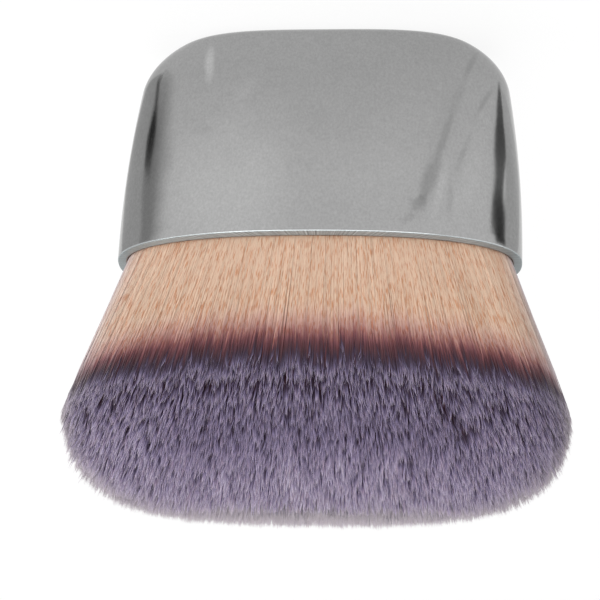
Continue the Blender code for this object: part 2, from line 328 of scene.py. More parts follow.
def lip_rings(angles):
    """The mouth's rim: a small round on the outer edge, the flat end face, and a round on the inner edge."""
    rings = []
    for t in np.linspace(0, math.pi / 2, 6):
        rings.append((CAP_HEIGHT - LIP_ROUND * (1 - math.sin(t)), LIP_ROUND * (1 - math.cos(t))))
    rings.append((CAP_HEIGHT, LIP_ROUND * 1.2))
    rings.append((CAP_HEIGHT, CAP_WALL - LIP_ROUND * 1.6))
    rings.append((CAP_HEIGHT, CAP_WALL - LIP_ROUND * 1.1))
    for t in np.linspace(0, math.pi / 2, 6):
        z = CAP_HEIGHT - LIP_ROUND * (1 - math.cos(t))
        rings.append((z, CAP_WALL - LIP_ROUND * (1 - math.sin(t))))
    return [cap_ring(angles, z, inset, CAP_HEIGHT) for z, inset in rings]


# ---- mesh helpers ----
def mesh_object(name, verts, faces, material):
    """A smooth-shaded object in the scene from its points and faces."""
    mesh = bpy.data.meshes.new(name)
    mesh.from_pydata([tuple(v) for v in verts], [], faces)
    mesh.validate()
    mesh.materials.append(material)
    mesh.shade_smooth()
    made = bpy.data.objects.new(name, mesh)
    bpy.context.scene.collection.objects.link(made)
    return made


def skin(rings):
    """Vertices and quads of a surface through equal closed rings."""
    count = len(rings[0])
    verts = np.concatenate(rings)
    faces = []
    for row in range(len(rings) - 1):
        low, high = row * count, (row + 1) * count
        for i in range(count):
            j = (i + 1) % count
            faces.append((low + i, low + j, high + j, high + i))
    return verts, faces


def shrunk(ring, share):
    """A smaller copy of a ring, about its own middle."""
    return np.column_stack([ring[:, :2] * share, ring[:, 2]])


def mark_inner_edge_shade(cap, first):
    """A point mask that is 1 from the lip's inner edge inward, so that the material can paint shade there:
    the dark shadow gap between the lip and the filaments.
    """
    shares = np.zeros(len(cap.data.vertices))
    shares[first:] = 1.0
    cap.data.attributes.new("inner_edge_shade", "FLOAT", "POINT").data.foreach_set("value", shares)


def make_cap(material):
    """The cap in one skin: closed end, wall, lip, and the wall's inside down to the inner floor."""
    angles = even_angles(CAP_AROUND)
    outer = [cap_ring(angles, z, 0.0) for z in end_levels(0.0, CAP_HEIGHT - LIP_ROUND)[:-1]]
    inner = [cap_ring(angles, z, CAP_WALL) for z in end_levels(CAP_WALL, CAP_HEIGHT - LIP_ROUND)[:-1]]
    lip = lip_rings(angles)
    rings = [shrunk(outer[0], s) for s in (0.3, 0.6, 0.85, 0.96, 0.99)] + outer
    first = (len(rings) + LIP_INNER_RING) * CAP_AROUND
    rings += lip + inner[::-1] + [shrunk(inner[0], s) for s in (0.97, 0.6, 0.3)]
    verts, faces = skin(rings)
    faces.append(tuple(reversed(range(CAP_AROUND))))
    faces.append(tuple(range(len(verts) - CAP_AROUND, len(verts))))
    cap = mesh_object("metal_cap", verts, faces, material)
    mark_inner_edge_shade(cap, first)
    return cap


# ---- form of the head ----
ROOT_HALF_WIDTH = half_width(PLUG_TOP) - CAP_WALL - CLEARANCE
ROOT_HALF_DEPTH = half_depth(PLUG_TOP) - CAP_WALL - CLEARANCE
PLUG_BELOW_MOUTH = CAP_HEIGHT - PLUG_TOP
WIDE = HEAD_WIDTH / 2 / ROOT_HALF_WIDTH  # how much the head widens from root to shoulder
DEEP = HEAD_DEPTH / 2 / ROOT_HALF_DEPTH
COLUMNS = 2 * int((ROOT_HALF_WIDTH - CLEARANCE / 2 + STRAND_GAP / 2) / COLUMN_PITCH)
PLUG_EDGES = [(round(n * COLUMNS / SLICES) - COLUMNS / 2) * COLUMN_PITCH for n in range(SLICES + 1)]


def flare(s):
    return (s + PLUG_BELOW_MOUTH) / (SHOULDER_HEIGHT + PLUG_BELOW_MOUTH)


def lean(x, y, s):
    """Where the filament rooted at x, y on the plug stands at height s above the mouth."""
    return x * (1 + (WIDE - 1) * flare(s)), y * (1 + (DEEP - 1) * flare(s))


def fullness(x, y, s):
    """Below 1 inside the head's outline, 1 on it and above 1 outside it."""
    k = np.clip((s - SHOULDER_HEIGHT) / (HEAD_HEIGHT - SHOULDER_HEIGHT), 0, 0.9999)
    bow = np.sqrt(1 - k * k)
    spread = flare(np.minimum(s, SHOULDER_HEIGHT)) + DOME_FLARE * k
    a = ROOT_HALF_WIDTH + (HEAD_WIDTH / 2 - ROOT_HALF_WIDTH) * spread - HEAD_CORNER * (1 - bow)
    b = (ROOT_HALF_DEPTH + (HEAD_DEPTH / 2 - ROOT_HALF_DEPTH) * spread) * bow
    return (np.abs(x) / a) ** HEAD_POWER + (np.abs(y) / b) ** HEAD_POWER


def outward(x, y, s):
    """Unit vectors straight out of the head, from where its outline is crossed fastest."""
    step = 0.0003
    rise = np.stack(
        [
            fullness(x + step, y, s) - fullness(x - step, y, s),
            fullness(x, y + step, s) - fullness(x, y - step, s),
            fullness(x, y, s + step) - fullness(x, y, s - step) + 1e-6,
        ],
        axis=-1,
    )
    return rise / np.linalg.norm(rise, axis=-1, keepdims=True)


def leaned(s):
    """Sideways set of the whole head at height s above the mouth."""
    return HEAD_LEAN * np.clip(flare(s), 0, 1.3) ** 2


def reach(x, y):
    """How high above the mouth filaments rooted at x, y go before they leave the head's outline."""
    low = np.zeros(len(x))
    high = np.full(len(x), HEAD_HEIGHT)
    for _ in range(26):
        middle = (low + high) / 2
        inside = fullness(*lean(x, y, middle), middle) <= 1
        low = np.where(inside, middle, low)
        high = np.where(inside, high, middle)
    return low


def smooth_noise(x, y, pitch, seed):
    """A slow random swell over the head, about -1 to 1: sums of a few waves in random directions."""
    rng = np.random.default_rng(seed)
    total = np.zeros(len(x))
    for _ in range(9):
        angle = rng.uniform(0, 2 * math.pi)
        length = pitch * rng.uniform(0.7, 1.6)
        phase = rng.uniform(0, 2 * math.pi)
        total += np.sin((x * math.cos(angle) + y * math.sin(angle)) * 2 * math.pi / length + phase)
    return total / 3


def side_dye(x):
    """How much nearer the tips the dark dye starts toward the two ends of the head."""
    return np.where(x > 0, 0.0010, 0.0009) * (x / 0.030) ** 2


def skirt_centres(rng):
    """Middles of the skirt's tufts, and how far below the outline each of them ends."""
    angle = rng.uniform(0, 2 * math.pi, SKIRT_TUFTS * 2)
    near = oval(angle, HEAD_WIDTH / 2, HEAD_DEPTH / 2, HEAD_POWER)
    after = oval(angle + 0.001, HEAD_WIDTH / 2, HEAD_DEPTH / 2, HEAD_POWER)
    weight = np.linalg.norm(after - near, axis=1)
    angle = angle[rng.random(len(angle)) < weight / weight.max()][:SKIRT_TUFTS]
    inset = rng.uniform(*SKIRT_INSET, len(angle))
    points = oval(angle, ROOT_HALF_WIDTH, ROOT_HALF_DEPTH, HEAD_POWER, inset)
    return points[:, 0], points[:, 1], SKIRT_DROP * rng.random(len(angle)) ** 1.1


def parting(x, y):
    """1 along the middle of the parting, falling to 0 at its edges."""
    (x0, y0), (x1, y1) = PARTING
    length = math.hypot(x1 - x0, y1 - y0)
    ux, uy = (x1 - x0) / length, (y1 - y0) / length
    along = np.clip((x - x0) * ux + (y - y0) * uy, 0, length)
    away = np.hypot(x - x0 - along * ux, y - y0 - along * uy)
    return np.clip(1 - away / (PARTING_HALF * (0.6 + 0.8 * along / length)), 0, 1) ** 0.5


def tuft_centres(rng):
    """Middles of the even pattern's tufts on the root oval, spread as they stand at the shoulder."""
    a, b = HEAD_WIDTH / 2, HEAD_DEPTH / 2
    row = TUFT_PITCH * math.sqrt(3) / 2
    xs, ys = [], []
    for j in range(-int(b / row) - 1, int(b / row) + 2):
        line = np.arange(-int(a / TUFT_PITCH) - 1, int(a / TUFT_PITCH) + 2) * TUFT_PITCH
        xs.append(line + (0.5 * TUFT_PITCH if j % 2 else 0))
        ys.append(np.full(len(line), j * row))
    x = np.concatenate(xs)
    y = np.concatenate(ys)
    x = x + rng.uniform(-TUFT_SCATTER, TUFT_SCATTER, len(x)) * TUFT_PITCH
    y = y + rng.uniform(-TUFT_SCATTER, TUFT_SCATTER, len(y)) * TUFT_PITCH
    keep = (np.abs(x) / a) ** HEAD_POWER + (np.abs(y) / b) ** HEAD_POWER < EVEN_FULLNESS
    return x[keep] * ROOT_HALF_WIDTH / a, y[keep] * ROOT_HALF_DEPTH / b


def lay_tufts(rng):
    """Every tuft: its root, length, drops below the outline, sway at the tip, dye shift, tone and kinds."""
    even_x, even_y = tuft_centres(rng)
    skirt_x, skirt_y, skirt_drop = skirt_centres(rng)
    x, y = np.concatenate([even_x, skirt_x]), np.concatenate([even_y, skirt_y])
    count = len(x)
    length = reach(x, y)
    at_x, at_y = x * WIDE, y * DEEP

    edge = fullness(*lean(x, y, SHOULDER_HEIGHT), SHOULDER_HEIGHT) > OUTER_FULLNESS
    layered = edge * (rng.random(count) < LAYERED_SHARE) * LAYERED_DROP * rng.random(count) ** 1.3
    layered[len(even_x) :] = skirt_drop
    layered = layered * (1 - LAYERED_LESS * np.clip((np.abs(at_x) - 0.020) / 0.014, 0, 1))
    gap_shade = rng.random(count) < GAP_SHADE_SHARE

    free = layered < FREE_DROP
    middle = np.exp(-(((length - MIDDLE_LENGTH) / MIDDLE_SPREAD) ** 2))
    uneven = 0.00012 * (1 + smooth_noise(at_x, at_y, 0.004, 5))
    drop = 0.00034 * np.abs(rng.standard_normal(count)) + uneven
    short = free & (rng.random(count) < SHORT_SHARE + SHORT_MORE * middle)
    drop = drop + short * rng.uniform(*SHORT_DROP, count) + PARTING_DROP * parting(at_x, at_y)
    drop = drop + CLUMP_DROP * free * (smooth_noise(at_x, at_y, 0.0032, 7) > CLUMP_FROM)

    sway_x = 0.00048 * rng.standard_normal(count) + 0.00030 * smooth_noise(at_x, at_y, 0.005, 11)
    sway_y = 0.00030 * rng.standard_normal(count)
    out = outward(*lean(x, y, length - 0.001), length - 0.001)
    past = np.maximum(sway_x * out[:, 0] + sway_y * out[:, 1] - SWAY_LIMIT, 0) * edge

    dye = 0.00040 * smooth_noise(at_x, at_y, 0.006, 17) + 0.00022 * rng.standard_normal(count)
    crown = np.clip((length - 0.033) / 0.011, 0, 1)
    return {
        "x": x,
        "y": y,
        "at_x": at_x,
        "length": length,
        "layered": layered,
        "drop": drop + layered,
        "sway_x": sway_x - past * out[:, 0],
        "sway_y": sway_y - past * out[:, 1],
        "dye": dye + side_dye(at_x) - 0.10 * layered - 0.0014 * crown + 0.0006,
        "tone": smooth_noise(at_x, at_y, 0.0045, 23) * 0.35 + rng.standard_normal(count) * 0.7,
        "middle": middle,
        "gap_shade": gap_shade,
    }


def grow_filaments(rng):
    """Lines of four points from root to tip for every filament, with its radius, dye shifts and shade."""
    tufts = lay_tufts(rng)
    pick = np.repeat(np.arange(len(tufts["x"])), TUFT_SIZE)
    own = {name: values[pick] for name, values in tufts.items()}
    count = len(pick)
    angle = rng.uniform(0, 2 * math.pi, count)
    away = np.sqrt(rng.random(count)) * TUFT_SPREAD
    x = own["x"] + away * np.cos(angle) / WIDE
    y = own["y"] + away * np.sin(angle) / DEEP
    over = (np.abs(x) / ROOT_HALF_WIDTH) ** HEAD_POWER + (np.abs(y) / ROOT_HALF_DEPTH) ** HEAD_POWER
    pull = np.where(over > OUTLINE_PULL, (OUTLINE_PULL / over) ** (1 / HEAD_POWER), 1.0)
    x, y = x * pull, y * pull
    outer = over > LONG_FULLNESS
    stray = (over > STRAY_FULLNESS) & (rng.random(count) < STRAY_SHARE)

    drop = own["drop"] + 0.0009 * rng.random(count) ** 1.5
    drop = drop + stray * rng.uniform(0.0005, 0.002, count)
    tip_s = own["length"] + TIP_RISE - drop
    dye = drop + own["dye"] + 0.00030 * rng.standard_normal(count)
    lower = own["layered"] > LOWER_DROP
    near_length = rng.uniform(0.0018, 0.0028, count) - 0.0005 * lower
    near_s = tip_s - near_length
    root_s = np.where(outer, -PLUG_BELOW_MOUTH - ROOT_BELOW_PLUG, tip_s - SHORT_START)
    mid_length = np.clip(0.0120 - dye, near_length + 0.0015, 0.0125)
    mid_s = np.where(outer, tip_s - mid_length, tip_s - 0.0060)

    toward_end = np.clip((np.abs(own["at_x"]) - 0.018) / 0.014, 0, 1) * np.where(own["at_x"] > 0, 1.3, 0.85)
    duller = own["middle"] * (0.00045 - 0.0007 * toward_end)
    near_dye = np.where(dye > 0, TIP_DYE_SHARE * dye, dye)
    # painted shade: some lower tufts stay dark to their tips, standing for the shade in the gaps between the
    # light strokes
    near_dye = np.where(lower, 0.0007 + 0.0024 * own["gap_shade"], near_dye)
    tip_dye = duller + 0.0028 * (lower & own["gap_shade"])
    shift = np.stack([dye, dye, near_dye + duller, tip_dye], axis=1)

    gather = rng.uniform(0.25, 0.60, count)
    wander = rng.standard_normal(count) * 0.0004 * stray
    lines = np.zeros((count, 4, 3))
    for k, (s, (hold, sway, loose, jitter)) in enumerate(zip((root_s, mid_s, near_s, tip_s), RINGS)):
        own_x, own_y = lean(x, y, s)
        tuft_x, tuft_y = lean(own["x"], own["y"], s)
        share = gather * hold
        lifted = 0.00025 * loose * stray * np.sign(y)
        across = own_x + (tuft_x - own_x) * share + sway * own["sway_x"] + loose * wander
        lines[:, k, 0] = across + leaned(s)
        lines[:, k, 1] = own_y + (tuft_y - own_y) * share + sway * own["sway_y"] + lifted
        lines[:, k, 2] = CAP_HEIGHT + s
        if jitter:
            lines[:, k, :2] += rng.standard_normal((count, 2)) * jitter
    radius = FILAMENT_RADIUS * rng.uniform(0.85, 1.15, count) * np.where(stray, 0.8, 1.0)
    radius = radius * (1 + 0.12 * lower)
    tone = own["tone"] * 0.8 + rng.standard_normal(count) * 0.8
    shade = np.clip((tone + 2.4) / 4.8 * SHADES, 0, SHADES - 1).astype(int)
    return lines, radius, shift, shade


def strip_edges(shade):
    """Left and right of a shade's strip on the filament map, a little inside it."""
    return (shade + 0.15) / SHADES, (shade + 0.85) / SHADES


def filament_mesh(lines, radius, shift, shade, rng):
    """Vertices, faces and map of three-sided tapered filaments."""
    count = len(lines)
    turn = rng.uniform(0, 2 * math.pi, count)
    surface = outward(lines[..., 0], lines[..., 1], lines[..., 2] - CAP_HEIGHT)
    verts = np.zeros((count, 10, 3))
    normals = np.zeros((count, 10, 3))
    for k, (ring, follow) in enumerate(zip(RING_SHARES, SURFACE_SHARES)):
        for side in range(3):
            angle = turn + side * 2 * math.pi / 3
            round_it = np.stack([np.cos(angle), np.sin(angle), np.zeros(count)], axis=1)
            verts[:, k * 3 + side] = lines[:, k]
            verts[:, k * 3 + side, 0] += np.cos(angle) * radius * ring
            verts[:, k * 3 + side, 1] += np.sin(angle) * radius * ring
            normals[:, k * 3 + side] = round_it * (1 - follow) + surface[:, k] * follow
    verts[:, 9] = lines[:, 3]
    normals[:, 9] = surface[:, 3]
    length = np.linalg.norm(np.diff(lines, axis=1), axis=2)
    from_tip = np.zeros((count, 4))
    for k in (2, 1, 0):
        from_tip[:, k] = from_tip[:, k + 1] + length[:, k]
    along = np.clip(1 - (from_tip + shift) / DYE_LENGTH, ROOT_ON_MAP, 1.0)
    left, right = strip_edges(shade)
    corners = []  # point, place across the strip, ring
    for k in range(2):
        for side in range(3):
            a, b = k * 3 + side, k * 3 + (side + 1) % 3
            corners += [(a, left, k), (b, right, k), (b + 3, right, k + 1), (a + 3, left, k + 1)]
    for side in range(3):
        corners += [(6 + side, left, 2), (6 + (side + 1) % 3, right, 2), (9, (left + right) / 2, 3)]
    loops = np.arange(count)[:, None] * 10 + np.array([point for point, _, _ in corners])
    uv = np.stack([np.stack([u, along[:, k]], axis=1) for _, u, k in corners], axis=1)
    sizes = np.tile([4] * 6 + [3] * 3, count)
    return verts.reshape(-1, 3), loops.reshape(-1), sizes, uv.reshape(-1, 2), normals.reshape(-1, 3)


def plug_ring(z, inset, left, right, steps):
    """The potted root's outline at height z between two planes across the width."""
    a = half_width(z) - inset
    b = half_depth(z) - inset
    power = power_at(z)
    low, high = max(left, -a + 1e-5), min(right, a - 1e-5)
    x = low + (high - low) * (1 - np.cos(np.linspace(0, math.pi, steps))) / 2
    y = b * (1 - np.minimum(np.abs(x) / a, 1) ** power) ** (1 / power)
    front = np.column_stack([x, -y, np.full(steps, z)])
    back = np.column_stack([x[::-1], y[::-1], np.full(steps, z)])
    return np.concatenate([front, back])


def plug_mesh(left, right):
    """One slice of the potted root, which fills the cup and spreads over its rim, and its map."""
    base = CUP_BASE + CUP_WALL + CLEARANCE
    narrow = CAP_WALL + CUP_WALL + 2 * CLEARANCE
    wide = CAP_WALL + CLEARANCE
    step = CUP_TOP + CLEARANCE
    levels = (
        (base, narrow + PLUG_CORNER),
        (base + PLUG_CORNER / 3, narrow + PLUG_CORNER / 4),
        (base + PLUG_CORNER, narrow),
        (step, narrow),
        (step, wide),
        (PLUG_TOP, wide),
    )
    rings = [plug_ring(z, inset, left, right, 24) for z, inset in levels]
    verts, faces = skin(rings)
    count = len(rings[0])
    faces.append(tuple(reversed(range(count))))
    faces.append(tuple(range(len(verts) - count, len(verts))))
    loops = np.concatenate([np.array(f) for f in faces])
    sizes = np.array([len(f) for f in faces])
    low, high = verts.min(axis=0), verts.max(axis=0)
    flat = (verts - low) / (high - low)
    uv = np.stack([0.02 + 0.96 * flat[:, 0], 0.002 + 0.03 * (flat[:, 2] + flat[:, 1]) / 2], axis=1)
    return verts, loops, sizes, uv[loops], np.zeros_like(verts)


def mass_mesh(left, right, rng):
    """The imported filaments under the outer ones: one finely ridged body from the plug to below the tips."""
    rows, levels = MASS_ROWS, MASS_LEVELS
    a, b = ROOT_HALF_WIDTH - MASS_INSET, ROOT_HALF_DEPTH - MASS_INSET
    low, high = max(left, -a * 0.995), min(right, a * 0.995)
    columns = int((high - low) / MASS_COLUMN)
    x = np.linspace(low, high, columns + 1)
    half = b * (1 - (np.abs(x) / a) ** HEAD_POWER) ** (1 / HEAD_POWER)
    share = np.sin(np.linspace(-math.pi / 2, math.pi / 2, rows + 1))
    grid_x = np.repeat(x[:, None], rows + 1, axis=1)
    grid_y = half[:, None] * share[None, :]
    top = reach(grid_x.ravel(), grid_y.ravel()).reshape(grid_x.shape) - MASS_BELOW_TIPS
    base = -PLUG_BELOW_MOUTH - 0.0001
    ring = [(i, 0) for i in range(columns)] + [(columns, j) for j in range(rows)]
    ring += [(i, rows) for i in range(columns, 0, -1)] + [(0, j) for j in range(rows, 0, -1)]
    ring = np.array(ring)
    count = len(ring)
    ring_x, ring_y, ring_top = (g[ring[:, 0], ring[:, 1]] for g in (grid_x, grid_y, top))
    ridge = 1 + rng.uniform(-MASS_RIDGE, MASS_RIDGE, count)
    tilt = rng.uniform(-MASS_TILT, MASS_TILT, count)
    rings, from_tip = [], []
    for level in np.linspace(0, 1, levels + 1):
        s = base + (ring_top - base) * level
        px, py = lean(ring_x * ridge, ring_y * ridge, s)
        rings.append(np.column_stack([px + leaned(s), py, CAP_HEIGHT + s]))
        from_tip.append(ring_top + MASS_BELOW_TIPS - s + side_dye(px))
    wall, faces = skin(rings)
    top_x, top_y = lean(grid_x, grid_y, top)
    lid = np.stack([top_x + leaned(top), top_y, CAP_HEIGHT + top], axis=-1).reshape(-1, 3)
    verts = np.concatenate([wall, lid])
    from_tip = np.concatenate([*from_tip, np.full(top.size, MASS_BELOW_TIPS)])
    shade = np.clip(rng.normal(0.5, 0.16, count) * SHADES, 0, SHADES - 1).astype(int)
    strips = list(shade) * levels

    def node(i, j):
        return len(wall) + i * (rows + 1) + j

    for i in range(columns):
        for j in range(rows):
            faces.append((node(i, j), node(i + 1, j), node(i + 1, j + 1), node(i, j + 1)))
            strips.append(int(rng.integers(SHADES // 4, SHADES)))
    faces = np.array(faces)
    left_u, right_u = strip_edges(np.array(strips))
    v = np.clip(1 - from_tip / DYE_LENGTH, ROOT_ON_MAP, 1.0)[faces]
    flat = np.abs(v.max(axis=1) - v.min(axis=1)) < 1e-6
    v[flat, 2:] += 0.002
    uv = np.stack([np.stack([left_u, right_u, right_u, left_u], axis=1), v], axis=2)
    # the lid's rim lies on the wall's last ring: one body, one set of points there
    rim = [node(i, j) for i, j in ring]
    onto = np.arange(len(verts))
    onto[rim] = levels * count + np.arange(count)
    verts[levels * count : len(wall)] = verts[rim]
    faces = onto[faces]
    bottom = np.arange(count)[::-1]
    bottom_v = np.linspace(ROOT_ON_MAP + 0.001, ROOT_ON_MAP + 0.02, count)
    bottom_uv = np.column_stack([np.linspace(0.3, 0.6, count), bottom_v])
    loops = np.concatenate([faces.ravel(), bottom])
    sizes = np.concatenate([np.full(len(faces), 4), [count]])
    normals = outward(verts[:, 0], verts[:, 1], verts[:, 2] - CAP_HEIGHT)
    turned = np.tile(tilt, levels + 1)
    normals[: len(wall), 0] += turned * normals[: len(wall), 1]
    normals[: len(wall), 1] -= turned * normals[: len(wall), 0]
    used, loops = np.unique(loops, return_inverse=True)
    uv = np.concatenate([uv.reshape(-1, 2), bottom_uv])
    return verts[used], loops.reshape(-1), sizes, uv, normals[used]


def joined(parts):
    """Several sets of vertices, loops, face sizes, map points and normals as one."""
    start = 0
    moved = []
    for verts, loops, sizes, uv, normals in parts:
        moved.append((verts, loops + start, sizes, uv, normals))
        start += len(verts)
    return tuple(np.concatenate(group) for group in zip(*moved))


def make_head_slice(number, filaments, left, right, material, rng):
    """One slice of the head as one piece: its filaments, their packed mass and the root that holds them."""
    verts, loops, sizes, uv, normals = joined(
        [filament_mesh(*filaments, rng), mass_mesh(left, right, rng), plug_mesh(left, right)]
    )
    mesh = bpy.data.meshes.new(f"filament_slice_{number}")
    mesh.vertices.add(len(verts))
    mesh.vertices.foreach_set("co", verts.astype(np.float32).ravel())
    mesh.loops.add(len(loops))
    mesh.loops.foreach_set("vertex_index", loops.astype(np.int32))
    mesh.polygons.add(len(sizes))
    starts = np.concatenate([[0], np.cumsum(sizes)[:-1]])
    mesh.polygons.foreach_set("loop_start", starts.astype(np.int32))
    mesh.update(calc_edges=True)
    layer = mesh.uv_layers.new(name="OFBake")
    layer.data.foreach_set("uv", uv.astype(np.float32).ravel())
    mesh.materials.append(material)
    mesh.shade_smooth()
    mesh.validate()
    mesh.normals_split_custom_set_from_vertices(normals)
    made = bpy.data.objects.new(mesh.name, mesh)
    bpy.context.scene.collection.objects.link(made)
    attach(made, "root")
    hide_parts(f"bristle_slice_{number}")
    return made


def make_head(material):
    rng = np.random.default_rng(41)
    lines, radius, shift, shade = grow_filaments(rng)
    root_s = lines[:, 0, 2] - CAP_HEIGHT
    at = (lines[:, 0, 0] - leaned(root_s)) / (1 + (WIDE - 1) * flare(root_s))
    for number in range(1, SLICES + 1):
        low = PLUG_EDGES[number - 1] if number > 1 else -1.0
        high = PLUG_EDGES[number] if number < SLICES else 1.0
        inside = (at >= low) & (at < high)
        filaments = (lines[inside], radius[inside], shift[inside], shade[inside])
        make_head_slice(number, filaments, low + CLEARANCE / 2, high - CLEARANCE / 2, material, rng)


# ---- node helpers ----
def new_group(name, inputs, outputs):
    """A shader node group with its input and output sockets.

    Inputs are names with their values, where one without a value is a vector; outputs are names and kinds.
    """
    group = bpy.data.node_groups.new(name, "ShaderNodeTree")
    for label, value in inputs.items():
        kind = "NodeSocketFloat" if isinstance(value, float) else "NodeSocketVector"
        socket = group.interface.new_socket(name=label, in_out="INPUT", socket_type=kind)
        if value is not None:
            socket.default_value = value
    for label, kind in outputs.items():
        group.interface.new_socket(name=label, in_out="OUTPUT", socket_type="NodeSocket" + kind)
    return group, group.nodes.new("NodeGroupInput").outputs, group.nodes.new("NodeGroupOutput").inputs


def feed(tree, node, inputs):
    """The node, with its inputs given as values or as sockets to link."""
    for key, value in (inputs or {}).items():
        if isinstance(value, bpy.types.NodeSocket):
            tree.links.new(value, node.inputs[key])
        else:
            node.inputs[key].default_value = value
    return node


def put(tree, kind, inputs=None, **settings):
    node = tree.nodes.new("ShaderNode" + kind)
    for key, value in settings.items():
        setattr(node, key, value)
    return feed(tree, node, inputs)


def place(tree, group, inputs=None):
    node = tree.nodes.new("ShaderNodeGroup")
    node.node_tree = group
    return feed(tree, node, inputs)


def sums(tree, operation, a, b=0.0, c=0.0, clamp=False):
    return put(tree, "Math", {0: a, 1: b, 2: c}, operation=operation, use_clamp=clamp).outputs[0]


def grey(tree, value):
    """The same value on all three channels."""
    return put(tree, "CombineXYZ", {0: value, 1: value, 2: value}).outputs[0]


def spread(tree, value, start, end, low=0.0, high=1.0, **settings):
    """The value taken from the range start to end over to low to high, and held at both ends."""
    given = {"Value": value, "From Min": start, "From Max": end, "To Min": low, "To Max": high}
    return put(tree, "MapRange", given, **settings).outputs["Result"]


def seen_directly(tree):
    """1 where the eye, a mirror or clear glass looks, and 0 for the soft light that a surface takes."""
    path = put(tree, "LightPath")
    seen = sums(tree, "ADD", path.outputs["Is Camera Ray"], path.outputs["Is Glossy Ray"])
    return sums(tree, "ADD", seen, path.outputs["Is Transmission Ray"], clamp=True)


def ramp(tree, factor, stops):
    """A colour ramp: each stop is a position and a colour."""
    node = put(tree, "ValToRGB", {"Fac": factor})
    elements = node.color_ramp.elements
    while len(elements) < len(stops):
        elements.new(0.5)
    for element, (position, colour) in zip(elements, stops):
        element.position = position
        element.color = (*colour, 1.0)
    return node.outputs["Color"]


def tint(tree, factor, a, b, blend="MIX"):
    """Two colours mixed or multiplied, each a socket or three values."""
    a, b = ((*colour, 1.0) if isinstance(colour, tuple) else colour for colour in (a, b))
    return put(tree, "Mix", {"Factor": factor, 6: a, 7: b}, data_type="RGBA", blend_type=blend).outputs[2]


def new_material(name, metallic=0.0, roughness=0.5):
    """A material, its node tree and its shader."""
    material = bpy.data.materials.new(name)
    material.use_nodes = True
    shader = material.node_tree.nodes["Principled BSDF"]
    shader.inputs["Metallic"].default_value = metallic
    shader.inputs["Roughness"].default_value = roughness
    return material, material.node_tree, shader


# ---- effects shared by the materials ----
def mottle_group():
    """Soft uneven tone in two sizes, about 1, for colour."""
    group, given, out = new_group("mottle", {"Vector": None, "Scale": 100.0, "Depth": 0.1}, {"Tone": "Float"})
    where = given["Vector"]
    broad = put(group, "TexNoise", {"Vector": where, "Scale": given["Scale"], "Detail": 3.0})
    finer = sums(group, "MULTIPLY", given["Scale"], 9.0)
    small = put(group, "TexNoise", {"Vector": where, "Scale": finer, "Detail": 2.0})
    mixed = sums(group, "MULTIPLY_ADD", small.outputs["Fac"], 0.5, broad.outputs["Fac"])
    centred = sums(group, "SUBTRACT", mixed, 0.75)
    group.links.new(sums(group, "MULTIPLY_ADD", centred, given["Depth"], 1.0), out["Tone"])
    return group


def grain_group():
    """Fine grain as a height and as a roughness shift, stretched along one axis by Stretch."""
    group, given, out = new_group(
        "fine_grain",
        {"Vector": None, "Size": 2000.0, "Stretch": (1.0, 1.0, 1.0), "Roughness": 0.3, "Swing": 0.05},
        {"Height": "Float", "Roughness": "Float"},
    )
    drawn = put(group, "VectorMath", {0: given["Vector"], 1: given["Stretch"]}, operation="MULTIPLY")
    noise = {"Vector": drawn.outputs[0], "Scale": given["Size"], "Detail": 3.0, "Roughness": 0.6}
    grain = put(group, "TexNoise", noise).outputs["Fac"]
    centred = sums(group, "SUBTRACT", grain, 0.5)
    rough = sums(group, "MULTIPLY_ADD", centred, given["Swing"], given["Roughness"])
    group.links.new(grain, out["Height"])
    group.links.new(rough, out["Roughness"])
    return group


def painted_reflection_group():
    """The mask of one soft painted reflection: a long oval round Centre, turned in the face's plane and
    frayed.
    """
    sizes = {"Turn": 0.0, "Half Length": 0.01, "Half Width": 0.002, "Fray": 0.3}
    inputs = {"Vector": None, "Centre": (0.0, 0.0, 0.0), **sizes}
    group, given, out = new_group("painted_reflection_mark", inputs, {"Mask": "Float"})
    where = given["Vector"]
    moved = put(group, "VectorMath", {0: where, 1: given["Centre"]}, operation="SUBTRACT").outputs[0]
    turn = {"Vector": moved, "Angle": given["Turn"]}
    turned = put(group, "VectorRotate", turn, rotation_type="Y_AXIS").outputs[0]
    parts = put(group, "SeparateXYZ", {0: turned}).outputs
    across = sums(group, "DIVIDE", parts["X"], given["Half Width"])
    along = sums(group, "DIVIDE", parts["Z"], given["Half Length"])
    squares = [sums(group, "POWER", sums(group, "ABSOLUTE", side), 2.0) for side in (across, along)]
    far = sums(group, "SQRT", sums(group, "ADD", *squares))
    noise = put(group, "TexNoise", {"Vector": where, "Scale": 420.0, "Detail": 3.0}).outputs["Fac"]
    fray = sums(group, "MULTIPLY", sums(group, "SUBTRACT", noise, 0.5), given["Fray"])
    mask = spread(group, sums(group, "ADD", far, fray), 1.0, 0.25, interpolation_type="SMOOTHSTEP")
    group.links.new(mask, out["Mask"])
    return group


def on_map(mm):
    """Height on the filament map of the point this many millimetres back from the tip."""
    return 1 - mm / 1000 / DYE_LENGTH


